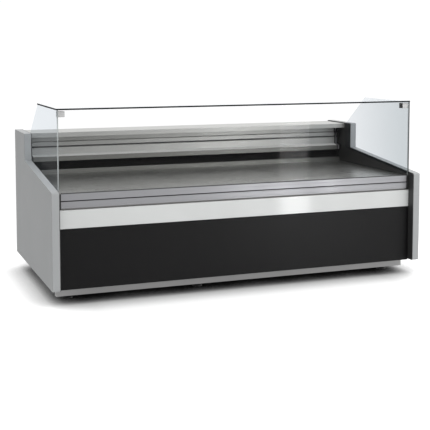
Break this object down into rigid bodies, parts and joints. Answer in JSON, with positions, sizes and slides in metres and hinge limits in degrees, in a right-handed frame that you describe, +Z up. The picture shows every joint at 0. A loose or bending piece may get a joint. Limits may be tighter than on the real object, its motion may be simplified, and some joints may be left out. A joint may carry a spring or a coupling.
{
  "type": "refrigerated deli case",
  "caption": "Refrigerated serve-over display case with tilt-forward front glass, flat top glass, moulded end panels, stainless deck and worktop, and rear storage doors.",
  "frame": {"origin": "on the floor, in the middle of the footprint", "axes": "+X along the case to the customer's right, +Y to the staff side, +Z up"},
  "size_m": [2.604, 1.3, 1.23],
  "materials": {
    "frame_steel": "satin grey paint",
    "zinc_sheet": "zinc-coated sheet",
    "panel_black": "semi-gloss black paint",
    "band_white": "gloss white paint",
    "aluminium": "satin anodised",
    "black_plastic": "fine-grained",
    "steel": "turned",
    "end_grey": "satin moulded skin over foam",
    "liner_dark": "satin",
    "glass": "tempered, ground edges",
    "clip_metal": "satin nickel",
    "foam": "foam core with a sheet facing",
    "stainless": "fine brushed along its length",
    "coil_aluminium": "mill finish",
    "fan_plastic": "moulded",
    "motor_black": "satin black",
    "fascia_grey": "powder-coated",
    "gasket_grey": "soft",
    "copper": "drawn copper tube",
    "drain_plastic": "extruded",
    "button_grey": "satin",
    "rocker_red": "gloss",
    "foot_black": "moulded rubber pad"
  },
  "bodies": {
    "case": {"base_frame": "frame_steel", "cabinet_floor": "zinc_sheet", "front_panel": "panel_black", "front_band": "band_white", "glass_rail": "aluminium", "rail_end_blocks": "black_plastic", "glass_hinge_pins": "steel", "end_panel_left": "end_grey", "end_panel_right": "end_grey", "end_liners": "liner_dark", "side_glass_left": "glass", "side_glass_right": "glass", "top_glass": "glass", "glass_catches": "clip_metal", "tub_insulation": "foam", "tub_liner": "stainless", "deck_tray_1": "stainless", "deck_tray_2": "stainless", "deck_tray_3": "stainless", "duct_sill": "stainless", "evaporator_coil": "coil_aluminium", "fan_plate": "zinc_sheet", "evaporator_motors": "motor_black", "rear_riser": "stainless", "air_grille": "black_plastic", "worktop": "stainless", "rear_insulation": "foam", "rear_fascia": "fascia_grey", "door_gaskets": "gasket_grey", "door_hinges": "frame_steel", "storage_insulation": "foam", "storage_liner": "stainless", "machine_grille": "fascia_grey", "condensing_base": "frame_steel", "compressor": "motor_black", "condenser_coil": "coil_aluminium", "condenser_motor": "motor_black", "refrigerant_pipes": "copper", "drain_pipe": "drain_plastic", "mains_gland": "black_plastic", "controller": "black_plastic", "screws": "steel"},
    "glass_unit": {"front_glass": "glass", "glass_shoe": "aluminium"},
    "door_1": {"storage_door_1": "fascia_grey"},
    "door_2": {"storage_door_2": "fascia_grey"},
    "door_3": {"storage_door_3": "fascia_grey"},
    "evaporator_fan_1": {"evaporator_fan_1": "fan_plastic"},
    "evaporator_fan_2": {"evaporator_fan_2": "fan_plastic"},
    "condenser_fan": {"condenser_fan": "fan_plastic"},
    "button_1": {"button_1": "button_grey"},
    "button_2": {"button_2": "button_grey"},
    "button_3": {"button_3": "button_grey"},
    "rocker": {"rocker_switch": "rocker_red"},
    "foot_1": {"foot_1": "foot_black"},
    "foot_2": {"foot_2": "foot_black"},
    "foot_3": {"foot_3": "foot_black"},
    "foot_4": {"foot_4": "foot_black"},
    "foot_5": {"foot_5": "foot_black"},
    "foot_6": {"foot_6": "foot_black"}
  },
  "joints": [
    {"name": "glass_tilt", "type": "hinge", "parent": "case", "child": "glass_unit", "pos_m": [0, -0.584, 0.666], "axis": [1, 0, 0], "range_deg": [0, 78]},
    {"name": "door_1_swing", "type": "hinge", "parent": "case", "child": "door_1", "pos_m": [-1.22865, 0.632, 0.297], "axis": [0, 0, 1], "range_deg": [0, 95]},
    {"name": "door_2_swing", "type": "hinge", "parent": "case", "child": "door_2", "pos_m": [-0.60598, 0.632, 0.297], "axis": [0, 0, 1], "range_deg": [0, 95]},
    {"name": "door_3_swing", "type": "hinge", "parent": "case", "child": "door_3", "pos_m": [0.01668, 0.632, 0.297], "axis": [0, 0, 1], "range_deg": [0, 95]},
    {"name": "evaporator_fan_1_spin", "type": "hinge", "parent": "case", "child": "evaporator_fan_1", "pos_m": [-0.6, -0.066, 0.612], "axis": [0, 1, 0], "continuous": true},
    {"name": "evaporator_fan_2_spin", "type": "hinge", "parent": "case", "child": "evaporator_fan_2", "pos_m": [0.6, -0.066, 0.612], "axis": [0, 1, 0], "continuous": true},
    {"name": "condenser_fan_spin", "type": "hinge", "parent": "case", "child": "condenser_fan", "pos_m": [0.95, 0.454, 0.285], "axis": [0, 1, 0], "continuous": true},
    {"name": "button_1_press", "type": "slide", "parent": "case", "child": "button_1", "axis": [0, -1, 0], "range_m": [0, 0.001], "stiffness_N_per_m": 600, "springref_m": -0.001},
    {"name": "button_2_press", "type": "slide", "parent": "case", "child": "button_2", "axis": [0, -1, 0], "range_m": [0, 0.001], "stiffness_N_per_m": 600, "springref_m": -0.001},
    {"name": "button_3_press", "type": "slide", "parent": "case", "child": "button_3", "axis": [0, -1, 0], "range_m": [0, 0.001], "stiffness_N_per_m": 600, "springref_m": -0.001},
    {"name": "rocker_tilt", "type": "hinge", "parent": "case", "child": "rocker", "pos_m": [1.006, 0.636, 0.56], "axis": [1, 0, 0], "range_deg": [0, 14]},
    {"name": "foot_1_turn", "type": "hinge", "parent": "case", "child": "foot_1", "pos_m": [-1.155, -0.39, 0.02], "axis": [0, 0, 1], "continuous": true},
    {"name": "foot_2_turn", "type": "hinge", "parent": "case", "child": "foot_2", "pos_m": [-0.268, -0.39, 0.02], "axis": [0, 0, 1], "continuous": true},
    {"name": "foot_3_turn", "type": "hinge", "parent": "case", "child": "foot_3", "pos_m": [1.155, -0.39, 0.02], "axis": [0, 0, 1], "continuous": true},
    {"name": "foot_4_turn", "type": "hinge", "parent": "case", "child": "foot_4", "pos_m": [-1.155, 0.45, 0.02], "axis": [0, 0, 1], "continuous": true},
    {"name": "foot_5_turn", "type": "hinge", "parent": "case", "child": "foot_5", "pos_m": [-0.268, 0.45, 0.02], "axis": [0, 0, 1], "continuous": true},
    {"name": "foot_6_turn", "type": "hinge", "parent": "case", "child": "foot_6", "pos_m": [1.155, 0.45, 0.02], "axis": [0, 0, 1], "continuous": true}
  ]
}
